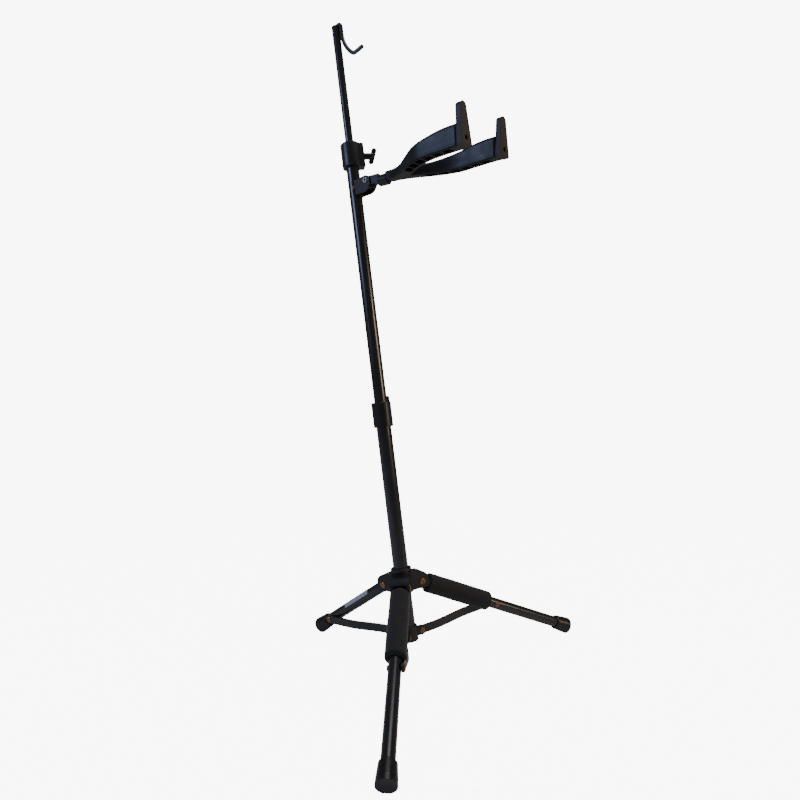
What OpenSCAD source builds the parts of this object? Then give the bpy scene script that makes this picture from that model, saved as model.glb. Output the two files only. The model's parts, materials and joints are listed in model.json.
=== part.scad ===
// Folding tripod stand that hangs an instrument by its neck in a padded yoke.
// The pole leans back over a short rear leg. A wire hook at the top holds a strap or a cable.
// Heights "up the pole" are measured along its axis from the plane of the leg pivots.

/* [Stance] */
// Backward lean of the pole, in degrees
lean = 9.15; // [5:0.05:12]
// Height above the floor where the plane of the leg pivots crosses the pole axis
pivot_height = 131.7; // [110:0.1:160]
// Angle between each leg and the pole, in degrees
leg_spread = 63; // [58:0.5:68]

/* [Pole] */
// Outside diameter of the outer tube
outer_d = 25.4; // [24.6:0.1:30]
// Wall of the outer tube
outer_wall = 1.2; // [1:0.1:1.4]
// Wall of the inner tube
inner_wall = 1.2; // [1:0.1:2]
// Room between the inner tube and the outer tube, on the radius
tube_gap = 0.5; // [0.4:0.05:0.8]
// Outside diameter of the hook rod
rod_d = 14; // [11:0.5:16]
// Wall of the hook rod
rod_wall = 1.5; // [1:0.1:2]
// Foot of the inner tube, up the pole
inner_foot = 150; // [120:1:180]
// Foot of the hook rod, up the pole
rod_foot = 560; // [480:1:600]
// Top of the hook rod, up the pole
rod_top = 968; // [900:0.5:1100]

/* [Height clutch] */
// Wall of the clutch housing round the outer tube
clutch_wall = 4; // [3.5:0.1:6]
// Length of the clutch housing
clutch_h = 42.4; // [38:0.1:52]
// Top of the clutch housing, up the pole
clutch_top = 307; // [280:1:340]
// Turn of the release button from the front, in degrees
button_turn = 48; // [0:1:90]
// Height of the release button above the housing
button_h = 9.6; // [6:0.1:12]
// Tilt of the clutch plates at rest, in degrees
plate_tilt = 5; // [3:0.5:6]

/* [Clamp collar] */
// Wall of the clamp collar round the inner tube
clamp_wall = 5.7; // [5:0.1:8]
// Length of the clamp collar
clamp_h = 41.6; // [36:0.1:50]
// Top of the clamp collar, up the pole
clamp_top = 757; // [740:0.1:790]
// Reach of the screw boss beyond the clamp collar
boss_out = 5.3; // [4:0.1:8]
// Turn of the screw boss from the front, in degrees
boss_turn = 50; // [0:1:90]
// Length of each wing of the wing screw
wing_l = 14.5; // [10:0.5:18]

/* [Hub and struts] */
// Diameter of the leg pivot rivets
rivet_d = 6; // [4:0.5:8]
// Thickness of each ear of the leg hub
ear_t = 6; // [4:0.5:8]
// Drop of the lower hub's pivots below the leg pivots
strut_base_drop = 82.6; // [76:0.1:92]
// Distance of the strut pivot along the leg
strut_at = 157.3; // [140:0.1:176]
// Height of the strut bar
strut_h = 13.5; // [10:0.5:16]
// Thickness of the strut bar
strut_t = 4; // [3:0.5:6]

/* [Legs] */
// Outside diameter of the legs
leg_d = 19; // [16:0.5:21]
// Wall of the legs
leg_wall = 1.2; // [1:0.1:2]
// Outside diameter of the foam sleeves
foam_d = 33.5; // [28:0.5:33.5]
// Start of the foam along the leg
foam_start = 15; // [14:0.5:24]
// Gap from the foam's end to the strut pivot
foam_end_gap = 15.3; // [12:0.1:22]
// Length of the foot caps
foot_l = 29; // [24:1:36]
// Diameter of the foot caps at the sole
foot_d = 28; // [25:0.5:32]
// Diameter of the foot caps at the neck
foot_neck_d = 24.4; // [22:0.1:26]

/* [Yoke] */
// Height of the yoke bracket up the pole
yoke_at = 680; // [660:1:690]
// Turn of the yoke about the pole, in degrees
yoke_turn = -4.4; // [-10:0.1:10]
// Roll of the yoke about its shank, in degrees
yoke_roll = 5.3; // [-8:0.1:8]
// Reach of the yoke pivot in front of its bracket's saddle
yoke_pivot_out = 20; // [18:0.5:24]
// Distance from the yoke pivot to the front of the end lips
yoke_reach = 234.8; // [225:0.1:280]
// Distance between the middles of the two arms
arm_spread = 98.6; // [90:0.1:120]
// Width of an arm over its cover
arm_w = 24; // [20:0.5:28]
// Height of an arm at its end
arm_end_h = 31; // [28:0.5:36]
// Height of an arm at the shank
arm_root_h = 15; // [12:0.5:18]
// Thickness of the soft arm covers
cover_t = 2.5; // [1.5:0.1:4]
// Height of the end lips
lip_h = 59; // [50:1:70]
// Thickness of the end lips
lip_t = 9; // [7:0.5:12]

/* [Hook] */
// Diameter of the hook wire
wire_d = 7; // [5:0.5:7.5]
// Length of the hook's raised tip
hook_tip_l = 14; // [10:1:24]

/* [Hidden] */

$fn = 64;
run_gap = 0.05;             // radial play of a running fit
air = 0.3;                  // play between pieces that pass each other
eps = 0.01;

// Directions of the three arms of the tripod, seen from above
az_left = -150;
az_right = -30;
az_rear = 90;
directions = [az_left, az_right, az_rear];

// Tubes
outer_id = outer_d - 2 * outer_wall;
inner_d = outer_id - 2 * tube_gap;
inner_id = inner_d - 2 * inner_wall;
rod_id = rod_d - 2 * rod_wall;
bush_h = 14;
spigot_h = 16;
bush_bore = 6;

// Hook wire
hook_in = 40;               // length of wire inside the plug
hook_shift = 1;             // the wire leaves the rod this far in front of the axis
hook_over = -5;             // where the wire starts to turn over, from the rod's rim
rod_notch = 3.8;            // depth of the notch in the rim that the wire passes through
hook_back_l = 17;           // straight wire down the front of the rod
hook_turn_r = (rod_d / 2 + wire_d / 2 + 1.6 - hook_shift) / 2;
hook_bowl_r = 60;
hook_bowl_turn = 45;
hook_low_r = 9;
hook_low_turn = 54;
wire_sides = 16;
arc_steps = 14;

// Clutch, from its foot upwards
clutch_d = outer_d + 2 * clutch_wall;
clutch_foot = clutch_top - clutch_h;
socket_h = 18;
outer_top = clutch_foot + socket_h;
floor_t = 2;
lid_t = 3;
chamber_foot = outer_top + floor_t;
chamber_top = clutch_top - lid_t;
chamber_d = clutch_d - 5;
tube_pass = inner_d + 0.8;
plate_t = 1.8;
plate_space = 0.8;
plate_d = chamber_d - 1.4;
plate_bore = inner_d + 1.2;
fulcrum_r = plate_d / 2;
button_foot_t = 1.6;
button_w = 8;
button_in = tube_pass / 2;
button_out = clutch_d / 2 - 1.1;
button_drop = 2 * fulcrum_r * sin(plate_tilt);
plate_top = chamber_top - button_foot_t - button_drop - 2 * air;
button_travel = button_foot_t + button_drop + 2 * air;
spring_wire = 1.2;
spring_turns = 3;

// Lower hub and leg hub
hub_bore = outer_d + 2 * run_gap;
ear_gap = leg_d + 2 * air;
hub_w = ear_gap + 2 * ear_t;
hub_sleeve_d = outer_d + 8;
leg_back = 8;
leg_room = sqrt(leg_back * leg_back + leg_d * leg_d / 4) + 0.6;
pivot_r = hub_sleeve_d / 2 + leg_room + 0.28;
hub_foot = -14;
hub_top = 19;
hood_r = 12.5;
ring_d = outer_d + 9.6;
ring_h = 8;
head_t = 1.8;
head_d = rivet_d + 4.6;
strut_foot_s = -strut_base_drop - 12;
strut_ear_t = 3;
strut_gap = strut_t + 2 * air;
strut_rivet_d = 5;
strut_head_d = 9;
strut_head_t = 1.1;
strut_hub_d = outer_d + 6;
strut_base_r = strut_hub_d / 2 + 8;
strut_hub_h = 25;
tube_foot = strut_foot_s + 3;
plug_h = 16;

// Legs: their length puts the rim of each foot just into the floor, where it is cut flat
foot_flat = 0.6;
foot_wall = 2.2;
function out_z(az) = -sin(lean) * sin(az);
function leg_z(az) = out_z(az) * sin(leg_spread) - cos(lean) * cos(leg_spread);
function leg_len(az) = (pivot_height + pivot_r * out_z(az) + foot_flat
                        - foot_d / 2 * sqrt(1 - pow(leg_z(az), 2))) / -leg_z(az);
function out_y(az) = cos(lean) * sin(az);
function leg_y(az) = out_y(az) * sin(leg_spread) - sin(lean) * cos(leg_spread);
function foot_y(az) = pivot_r * out_y(az) + leg_len(az) * leg_y(az);
function rim_y(az) = foot_d / 2 * sqrt(1 - pow(leg_y(az), 2));
// The origin stands under the middle of the feet
origin_y = -(foot_y(az_left) - rim_y(az_left) + foot_y(az_rear) + rim_y(az_rear)) / 2;
foam_end = strut_at - foam_end_gap;
foam_press_l = 75;
label_at = 47;
label_l = 64;
label_arc = 70;
label_turn = 100;

// Strut: from its pivot on the lower hub to its pivot on the leg
strut_dx = pivot_r + strut_at * sin(leg_spread) - strut_base_r;
strut_dz = strut_base_drop - strut_at * cos(leg_spread);
strut_len = sqrt(strut_dx * strut_dx + strut_dz * strut_dz);
strut_rise = atan2(strut_dz, strut_dx);
strut_side = leg_d / 2 + air + strut_t / 2;
joggle_start = 22;
joggle_l = 78;
strut_steps = 16;

// Clamp collar and wing screw
clamp_d = inner_d + 2 * clamp_wall;
boss_reach = clamp_d / 2 + boss_out;
clamp_foot = clamp_top - clamp_h;
clamp_lip_t = 3;
boss_w = 17;
thread_d = 6;
insert_d = 9;
insert_l = 6;
pad_t = 2.4;
screw_s = clamp_foot + clamp_h / 2;
inner_top = clamp_top - clamp_lip_t - 2;
screw_room = 12;
screw_hub_d = 11;
screw_hub_l = 17;
wing_t = 4.2;
wing_w = 8.5;
wing_sweep = 20;

// Bracket and yoke
bracket_wall = 3;
bracket_h = 24;
bracket_up = 8;
saddle_d = inner_d + 2 * bracket_wall;
yoke_pivot_r = saddle_d / 2 + yoke_pivot_out;
saddle_turn = 68;           // the saddle reaches this far round from the front, each way
notch_h = 5;
bracket_rivet_d = 2.6;
bracket_rivet_turn = 58;
clevis_gap = 14;
clevis_w = clevis_gap + 2 * bracket_wall;
yoke_rivet_d = 6;
yoke_rivet_bore = 4;
yoke_rivet_head = 9.4;
knuckle_w = clevis_gap - 2 * air;
knuckle_r = 7.5;
collar_start = 25;
collar_l = 20;
collar_d = 19;
collar_drop = 4;
shank_d = 11;
yoke_start = collar_start + collar_l + air;
arm_drop = 8;
arm_split = 92;
arm_straight = 158;
arm_end = yoke_reach - lip_t;
// The arms are drawn past their ends and cut off by the back faces of the lips
arm_reach = arm_end + 8;
arm_steps = 14;
rib_t = 2.2;
rib_count = 6;
core_wall = 2.4;
lip_top_w = 14.5;
lip_lean = 1.5;
lip_splay = 3;
lip_screw_d = 7;
lip_screw_up = 11;

// ---- frames ----

module pole_frame() translate([0, origin_y, pivot_height]) rotate([-lean, 0, 0]) children();
module arm_frame(az) pole_frame() rotate([0, 0, az]) children();
module leg_frame(az) arm_frame(az) translate([pivot_r, 0, 0]) rotate([0, 90 - leg_spread, 0]) children();
module strut_frame(az) arm_frame(az) translate([strut_base_r, 0, -strut_base_drop])
    rotate([0, -strut_rise, 0]) children();
module bracket_frame() pole_frame() translate([0, 0, yoke_at]) rotate([0, 0, yoke_turn]) children();
module pivot_frame() bracket_frame() translate([0, -yoke_pivot_r, 0]) rotate([lean, 0, 0]) children();
module yoke_frame_of() pivot_frame() rotate([0, -yoke_roll, 0]) children();
module boss_frame() pole_frame() rotate([0, 0, boss_turn]) translate([0, 0, screw_s]) rotate([90, 0, 0])
    children();

// ---- repeated shapes ----

module up(h) translate([0, 0, h]) children();
module along_x() rotate([0, 90, 0]) children();
module along_y() rotate([-90, 0, 0]) children();

// A cylinder with a chamfer at its foot and at its top
module turned(d, h, foot = 0.8, top = 0.8) {
    rotate_extrude() polygon([[0, 0], [d / 2 - foot, 0], [d / 2, foot], [d / 2, h - top],
                              [d / 2 - top, h], [0, h]]);
}

module tube(d, wall, h) {
    difference() {
        cylinder(d = d, h = h);
        up(-1) cylinder(d = d - 2 * wall, h = h + 2);
    }
}

// Domed rivet head that stands on the plane z = 0
module rivet_head(d, t) {
    difference() {
        rotate_extrude() polygon([[0, 0], [d / 2, 0], [d / 2, t * 0.45], [d / 2 - t * 0.8, t], [0, t]]);
        up(t) sphere(d = d * 0.3, $fn = 24);
    }
}

// Coil spring of round wire, swept as rings along a helix
module coil(mean_r, wire, h, turns) {
    sides = 8;
    per_turn = 18;
    rings = turns * per_turn;
    rise = h - wire;
    function at(i, j) = let (a = 360 * i / per_turn, b = 360 * j / sides, r = mean_r + wire / 2 * cos(b))
        [r * cos(a), r * sin(a), wire / 2 + rise * i / rings + wire / 2 * sin(b)];
    points = [for (i = [0:rings]) for (j = [0:sides - 1]) at(i, j)];
    walls = [for (i = [0:rings - 1]) for (j = [0:sides - 1])
        [i * sides + j, (i + 1) * sides + j, (i + 1) * sides + (j + 1) % sides, i * sides + (j + 1) % sides]];
    ends = [[for (j = [0:sides - 1]) j], [for (j = [sides - 1:-1:0]) rings * sides + j]];
    polyhedron(points, concat(walls, ends), convexity = 4);
}

// ---- pole ----

module outer_tube() color("#15161a") pole_frame() up(tube_foot)
    tube(outer_d, outer_wall, outer_top - tube_foot);

module base_plug() color("#202124") pole_frame() up(tube_foot - 2) {
    turned(outer_d, 2, 0.6, 0);
    cylinder(d = outer_id, h = plug_h);
}

module inner_tube() color("#17181c") pole_frame() up(inner_foot) difference() {
    tube(inner_d, inner_wall, inner_top - inner_foot);
    // the pressure pad reaches the rod through this hole
    rotate([0, 0, boss_turn]) up(screw_s - inner_foot) rotate([90, 0, 0])
        cylinder(d = insert_d + 1.6, h = inner_d);
    up(yoke_at - inner_foot) rotate([0, 0, yoke_turn]) bracket_rivet_places()
        cylinder(d = bracket_rivet_d, h = inner_d);
}

module bush(flange_d, spigot_d, foot) pole_frame() up(foot - bush_h) difference() {
    union() {
        turned(flange_d, bush_h - air, 0.8, 0.4);
        cylinder(d = spigot_d, h = bush_h + spigot_h);
    }
    up(-1) cylinder(d = bush_bore, h = bush_h + spigot_h + 2);
}

module guide_bush() color("#e4e2da") bush(outer_id - 2 * run_gap, inner_id - 2 * run_gap, inner_foot);
module rod_bush() color("#e4e2da") bush(inner_id - 2 * run_gap, rod_id - 2 * run_gap, rod_foot);

module hook_rod() color("#1b1a19") pole_frame() difference() {
    up(rod_foot) tube(rod_d, rod_wall, rod_top - rod_foot);
    // notch in the rim for the hook wire
    translate([-wire_d / 2 - air, -rod_d, rod_top - rod_notch]) cube([wire_d + 2 * air, rod_d, rod_notch + 1]);
}

// ---- hook ----

// Points of an arc round a centre, from one angle to another
function arc_path(c, r, from, to) = [for (i = [0:arc_steps]) let (a = from + (to - from) * i / arc_steps)
    [c[0] + r * cos(a), c[1] + r * sin(a)]];
function polar(r, a) = [r * cos(a), r * sin(a)];

// The wire's middle line, forward along X and up along Y, from the plug to the tip
hook_front = hook_shift + 2 * hook_turn_r;
bowl_at = [hook_front + hook_bowl_r, -hook_back_l];
bowl_end = 180 + hook_bowl_turn;
low_at = bowl_at + polar(hook_bowl_r - hook_low_r, bowl_end);
low_end = bowl_end + hook_low_turn;
tip_from = low_at + polar(hook_low_r, low_end);
hook_path = concat([[hook_shift, -hook_in]],
                   arc_path([hook_shift + hook_turn_r, hook_over], hook_turn_r, 180, 0),
                   arc_path(bowl_at, hook_bowl_r, 180, bowl_end),
                   arc_path(low_at, hook_low_r, bowl_end, low_end),
                   [for (t = [0:0.2:1]) tip_from + polar(hook_tip_l * (t + 0.01), low_end + 90)]);

// Round wire along a flat path, with a domed tip
module wire(path, d) {
    last = len(path) - 1;
    cap = 5;
    function dir(i) = let (v = path[min(i + 1, last)] - path[max(i - 1, 0)]) v / norm(v);
    function ring(p, u, r) = [for (j = [0:wire_sides - 1]) let (b = 360 * j / wire_sides)
        [p[0] - u[1] * r * cos(b), r * sin(b), p[1] + u[0] * r * cos(b)]];
    function dome(k) = ring(path[last] + dir(last) * d / 2 * sin(90 * k / cap), dir(last),
                            d / 2 * cos(90 * k / cap) + (k == cap ? d * 0.02 : 0));
    rings = concat([for (i = [0:last]) ring(path[i], dir(i), d / 2)], [for (k = [1:cap]) dome(k)]);
    n = len(rings) - 1;
    walls = [for (i = [0:n - 1]) for (j = [0:wire_sides - 1]) let (k = (j + 1) % wire_sides)
        [i * wire_sides + j, (i + 1) * wire_sides + j, (i + 1) * wire_sides + k, i * wire_sides + k]];
    ends = [[for (j = [0:wire_sides - 1]) j], [for (j = [wire_sides - 1:-1:0]) n * wire_sides + j]];
    polyhedron([for (r = rings) for (p = r) p], concat(walls, ends), convexity = 6);
}

module hook() color("#26221f") pole_frame() up(rod_top) rotate([0, 0, -90]) wire(hook_path, wire_d);

module hook_plug() color("#1b1b1d") pole_frame() up(rod_top - hook_in) difference() {
    cylinder(d = rod_id, h = hook_in + hook_over - air);
    translate([0, -hook_shift, -1]) cylinder(d = wire_d, h = hook_in + 2);
}

// ---- height clutch ----

module clutch_housing() color("#242529") pole_frame() difference() {
    up(clutch_foot) turned(clutch_d, clutch_h, 0.8, 1);
    up(clutch_foot - 1) cylinder(d = outer_d, h = socket_h + 1);
    up(clutch_foot) cylinder(d = tube_pass, h = clutch_h + 1);
    up(chamber_foot) cylinder(d = chamber_d, h = chamber_top - chamber_foot);
    button_slot(air / 2);
}

module button_slot(gap) rotate([0, 0, button_turn]) up(chamber_top - button_travel) intersection() {
    cylinder(r = button_out + gap, h = lid_t + button_travel + 1);
    translate([-button_w / 2 - gap, -button_out - 1, 0])
        cube([button_w + 2 * gap, button_out + 1, lid_t + button_travel + 1]);
}

module release_button() color("#101012") pole_frame() rotate([0, 0, button_turn]) {
    stem_h = lid_t + button_h;
    intersection() {
        up(chamber_top - button_foot_t) difference() {
            cylinder(r = button_out - air / 2, h = stem_h + button_foot_t);
            up(-1) cylinder(r = button_in, h = stem_h + button_foot_t + 2);
        }
        translate([0, 0, chamber_top]) rotate([90, 0, 0]) linear_extrude(height = clutch_d) {
            translate([-button_w / 2, -button_foot_t]) square([button_w, stem_h - button_w / 2 + button_foot_t]);
            translate([0, stem_h - button_w / 2]) circle(d = button_w);
        }
    }
    intersection() {
        up(chamber_top - air / 2 - button_foot_t) difference() {
            cylinder(r = chamber_d / 2 - air, h = button_foot_t + air / 2);
            up(-1) cylinder(r = button_in, h = button_foot_t + 3);
        }
        translate([-button_w * 0.75, -clutch_d, chamber_top - air / 2 - button_foot_t])
            cube([button_w * 1.5, clutch_d, button_foot_t]);
    }
}

// Two steel plates that bind on the inner tube while they are tilted
module clutch_plates() color("#8d8f92") pole_frame() rotate([0, 0, button_turn])
    translate([0, fulcrum_r, plate_top]) rotate([-plate_tilt, 0, 0]) translate([0, -fulcrum_r, 0])
        for (i = [0, 1]) up(-plate_t - i * (plate_t + plate_space)) difference() {
            cylinder(d = plate_d, h = plate_t);
            up(-1) cylinder(d = plate_bore, h = plate_t + 2);
        }

module clutch_spring() color("#a9abae") pole_frame() up(chamber_foot)
    coil((inner_d + chamber_d) / 4, spring_wire,
         plate_top - 2 * plate_t - plate_space - chamber_foot - air, spring_turns);

// ---- clamp collar and wing screw ----

module clamp_collar() color("#2a2b2e") difference() {
    pole_frame() union() {
        up(clamp_foot) turned(clamp_d, clamp_h, 1, 1);
        up(clamp_foot) rotate([0, 0, boss_turn]) intersection() {
            turned(2 * boss_reach + 3, clamp_h, 1, 1);
            translate([-boss_w / 2, -boss_reach, 0]) cube([boss_w, boss_reach, clamp_h]);
        }
    }
    pole_frame() up(clamp_foot - 1) cylinder(d = inner_d, h = inner_top - clamp_foot + 1);
    pole_frame() up(clamp_foot) cylinder(d = rod_d + 2 * air, h = clamp_h + 1);
    boss_frame() cylinder(d = thread_d + 2 * air, h = boss_reach + 1);
    boss_frame() cylinder(d = insert_d, h = screw_room + insert_l);
}

module thread_insert() color("#b08d4c") boss_frame() up(screw_room) difference() {
    cylinder(d = insert_d, h = insert_l);
    up(-1) cylinder(d = thread_d + 2 * run_gap, h = insert_l + 2);
}

module pressure_pad() color("#d9d7cf") boss_frame() up(rod_d / 2 + air)
    cylinder(d = insert_d - 2 * air, h = pad_t);

module wing_screw() color("#2a2a2c") boss_frame() {
    up(rod_d / 2 + 2 * air + pad_t) cylinder(d = thread_d, h = boss_reach + 2 - rod_d / 2 - 2 * air - pad_t);
    up(boss_reach + air) turned(screw_hub_d, screw_hub_l, 0.8, 1.4);
    up(boss_reach + screw_hub_l - 1) rotate([wing_sweep, 0, 0]) for (side = [0, 180]) rotate([0, 0, side]) {
        rotate([0, 90, 0]) up(-wing_t / 2) linear_extrude(height = wing_t) {
            translate([-wing_w / 2, 0]) square([wing_w, wing_l - wing_w / 2]);
            translate([0, wing_l - wing_w / 2]) circle(d = wing_w);
        }
    }
}

// ---- yoke bracket ----

// Flat cheek beside the tube that carries the yoke pivot, drawn forward along X and up along Y
module cheek_outline() {
    tail = bracket_h - bracket_up;
    polygon([[0, -tail], [yoke_pivot_r - 4, -tail - 2], [yoke_pivot_r + 3, -tail + 1],
             [yoke_pivot_r + 9, -bracket_up], [yoke_pivot_r + 9, 2], [yoke_pivot_r, bracket_up],
             [0, bracket_up]]);
    translate([yoke_pivot_r, 0]) circle(r = bracket_up);
}

module cheek() rotate([90, 0, -90]) up(-bracket_wall / 2) linear_extrude(height = bracket_wall)
    cheek_outline();

module yoke_bracket() color("#17181d") difference() {
    union() {
        bracket_frame() {
            // curved saddle on the front of the tube
            up(bracket_up - bracket_h) rotate([0, 0, -90 - saddle_turn]) rotate_extrude(angle = 2 * saddle_turn)
                translate([inner_d / 2 - 1, 0]) square([bracket_wall + 1, bracket_h]);
            for (side = [-1, 1]) translate([side * (clevis_w - bracket_wall) / 2, 0, 0]) cheek();
        }
        // cross piece that the knuckle rests on
        pivot_frame() translate([-clevis_gap / 2 - 1, -9, -knuckle_r - air - 4]) cube([clevis_gap + 2, 12, 4]);
    }
    bracket_frame() {
        up(-bracket_h) cylinder(d = inner_d, h = 2 * bracket_h);
        translate([-saddle_d, -yoke_pivot_r, 0]) along_x() cylinder(d = yoke_rivet_d, h = 2 * saddle_d);
        bracket_rivet_places() cylinder(d = bracket_rivet_d, h = saddle_d);
        // notched side edges
        for (side = [-1, 1]) rotate([0, 0, -90 + side * saddle_turn])
            translate([inner_d / 2 - 1, -1, bracket_up - bracket_h / 2 - notch_h / 2]) cube([6, 2, notch_h]);
    }
}

module bracket_rivet_places() for (side = [-1, 1])
    up(bracket_up - bracket_h / 2) rotate([0, 0, -90 + side * bracket_rivet_turn]) along_x() children();

module bracket_rivets() color("#b08d4c") bracket_frame() bracket_rivet_places() {
    up(inner_d / 2 - inner_wall - 1) cylinder(d = bracket_rivet_d, h = inner_wall + bracket_wall + 1);
    up(inner_d / 2 + bracket_wall) rivet_head(bracket_rivet_d + 1.8, 1.2);
}

// Hollow rivet with a rolled rim at each end
module yoke_rivet() color("#b5b3ad") bracket_frame() translate([0, -yoke_pivot_r, 0]) along_x() difference() {
    union() {
        cylinder(d = yoke_rivet_d, h = clevis_w, center = true);
        for (side = [0, 180]) rotate([0, side, 0]) up(clevis_w / 2)
            rotate_extrude() polygon([[0, 0], [yoke_rivet_head / 2, 0], [yoke_rivet_head / 2, 0.6],
                                      [yoke_rivet_head / 2 - 0.6, 1.2], [0, 1.2]]);
    }
    cylinder(d = yoke_rivet_bore, h = clevis_w + 4, center = true);
}

module yoke_knuckle() color("#16171c") difference() {
    union() {
        pivot_frame() {
            along_x() cylinder(r = knuckle_r, h = knuckle_w, center = true);
            translate([-knuckle_w / 2, -collar_start - 1, -knuckle_r]) cube([knuckle_w, collar_start + 1,
                                                                           2 * knuckle_r - 1]);
        }
        yoke_frame_of() translate([0, -collar_start, -collar_drop]) rotate([90, 0, 0])
            turned(collar_d, collar_l, 1.5, 1.5);
    }
    pivot_frame() along_x() cylinder(d = yoke_rivet_d + 2 * run_gap, h = 2 * knuckle_w, center = true);
    yoke_frame_of() translate([0, -collar_start - 4, -collar_drop]) rotate([90, 0, 0])
        cylinder(d = shank_d + 2 * run_gap, h = collar_l);
}

// ---- yoke ----

// Half width of the yoke's plan at a distance from the pivot, outside and inside an arm
function ease(t) = let (c = max(0, min(1, t))) c * c * (3 - 2 * c);
function outer_x(f) = collar_d / 2 + 2 + (arm_spread / 2 + arm_w / 2 - collar_d / 2 - 2)
    * ease((f - yoke_start - 6) / (arm_straight - yoke_start - 6));
function inner_x(f) = (arm_spread / 2 - arm_w / 2) * sqrt(ease((f - arm_split) / (arm_straight + 14 - arm_split)));
// Top of the arm: low at the shank, rising to its full height at the lip
function top_z(f) = -arm_drop + arm_root_h + (arm_end_h - arm_root_h)
    * ease((f - arm_split + 14) / (arm_end - arm_split)) - bottom_fall(f);
function bottom_fall(f) = -5 * ease((f - arm_split) / (arm_end - arm_split));

function stations(a, b) = [for (i = [0:arm_steps]) a + (b - a) * i / arm_steps];

// Plan of one arm, side = 1 on the right; grow is negative for the core under the cover
module arm_plan(side, from, to, grow) scale_x(side) polygon(concat(
    [for (f = stations(from, to)) [outer_x(f) + grow, -f]],
    [for (f = stations(to, from)) [max(0, inner_x(f) - (inner_x(f) > 0 ? grow : 0)), -f]]));

module scale_x(side) if (side > 0) children(); else mirror([1, 0, 0]) children();

// Side view of an arm, forward along X and up along Y
module arm_side(from, to, grow) polygon(concat(
    [for (f = stations(from, to)) [f, top_z(f) + grow]],
    [for (f = stations(to, from)) [f, -arm_drop - bottom_fall(f)]]));

module arm_block(side, from, to, grow) intersection() {
    up(-2 * arm_end_h) linear_extrude(height = 4 * arm_end_h) arm_plan(side, from, to, grow);
    rotate([90, 0, -90]) up(-arm_spread) linear_extrude(height = 2 * arm_spread) arm_side(from, to, grow);
}

module yoke_shank() translate([0, -yoke_start + collar_l - 6, -collar_drop]) rotate([90, 0, 0])
    cylinder(d = shank_d, h = collar_l - 5);

// Everything in front of the back face of a lip
module lip_room(side) lip_frame_in(side) translate([-arm_spread, -2 * arm_spread, -arm_spread])
    cube(2 * arm_spread);

module yoke_frame() color("#1a191b") yoke_frame_of() difference() {
    union() {
        for (side = [-1, 1]) difference() {
            arm_block(side, yoke_start, arm_reach, -cover_t);
            lip_room(side);
        }
        yoke_shank();
    }
    // hollow underside, crossed by ribs
    for (side = [-1, 1]) for (i = [0:rib_count - 1]) arm_pocket(side, i);
}

module arm_pocket(side, i) {
    first = arm_split + 12;
    pitch = (arm_end - 14 - first) / rib_count;
    from = first + i * pitch;
    up(-core_wall) arm_block(side, from, from + pitch - rib_t, -cover_t - core_wall);
    up(-core_wall - 8) arm_block(side, from, from + pitch - rib_t, -cover_t - core_wall);
}

// Soft skin over the top and the sides of an arm
module arm_cover(side) yoke_frame_of() difference() {
    arm_block(side, yoke_start + 1, arm_reach, 0);
    for (drop = [0, 1]) up(-drop) arm_block(side, yoke_start, arm_reach, -cover_t);
    yoke_shank();
    lip_room(side);
    translate([side > 0 ? -arm_spread : 0, -arm_reach, -arm_end_h]) cube([arm_spread, arm_reach, 2 * arm_end_h]);
}

module arm_cover_left() color("#1b1f2a") arm_cover(-1);
module arm_cover_right() color("#1b1f2a") arm_cover(1);

// Frame of an end lip: its foot is level with the underside of the arm
module lip_frame(side) yoke_frame_of() lip_frame_in(side) children();
module lip_frame_in(side) translate([side * arm_spread / 2, -arm_end, -arm_drop + 5])
    rotate([-lip_lean, side * lip_splay, 0]) children();

module lip(side) lip_frame(side) difference() {
    rotate([90, 0, 0]) linear_extrude(height = lip_t) {
        r = lip_top_w / 2;
        polygon([[-arm_w / 2 - 0.5, 0], [arm_w / 2 + 0.5, 0], [arm_w / 2 + 0.5, 4], [r, lip_h - r],
                 [-r, lip_h - r], [-arm_w / 2 - 0.5, 4]]);
        translate([0, lip_h - r]) circle(r = r);
    }
    translate([0, -lip_t - 1, lip_screw_up]) rotate([-90, 0, 0]) cylinder(d = lip_screw_d, h = 6);
    translate([0, -lip_t - 1, lip_screw_up]) rotate([-90, 0, 0]) cylinder(d = 3.4, h = lip_t + 2);
}

module lip_left() color("#2f2b28") lip(-1);
module lip_right() color("#2f2b28") lip(1);

module lip_screws() color("#0f0f10") for (side = [-1, 1]) lip_frame(side)
    translate([0, -lip_t + 5, lip_screw_up]) rotate([90, 0, 0]) difference() {
        union() {
            cylinder(d = lip_screw_d - 0.6, h = 2.4);
            up(-4) cylinder(d = 3.4, h = 5);
        }
        up(1.2) cylinder(d = 3, h = 2, $fn = 6);
    }

// ---- leg hub ----

// Side view of one hood of the hub, outward along X and up along Y
module hood_outline() {
    polygon([[0, hub_foot + 2], [pivot_r + hood_r - 1, hub_foot + 5], [pivot_r + hood_r, 0],
             [pivot_r + 9, 10], [pivot_r, hub_top - 3], [0, hub_top - 0.6]]);
    translate([pivot_r - 2, 3]) circle(r = hood_r + 1.5);
}

// Room for the leg from straight down to its spread place, as a side view
module leg_room_outline() translate([pivot_r, 0]) {
    circle(r = leg_room);
    translate([-leg_room - 0.2, -40]) square([leg_room + 40, 40]);
    rotate(leg_spread - 90) translate([0, -leg_d / 2 - 1]) square([40, leg_d + 2]);
}

module hood() difference() {
    rotate([90, 0, 0]) up(-hub_w / 2) linear_extrude(height = hub_w) hood_outline();
    rotate([90, 0, 0]) up(-ear_gap / 2) linear_extrude(height = ear_gap) leg_room_outline();
    translate([pivot_r, 0, 0]) along_y() cylinder(d = rivet_d, h = hub_w + 2, center = true);
}

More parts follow.
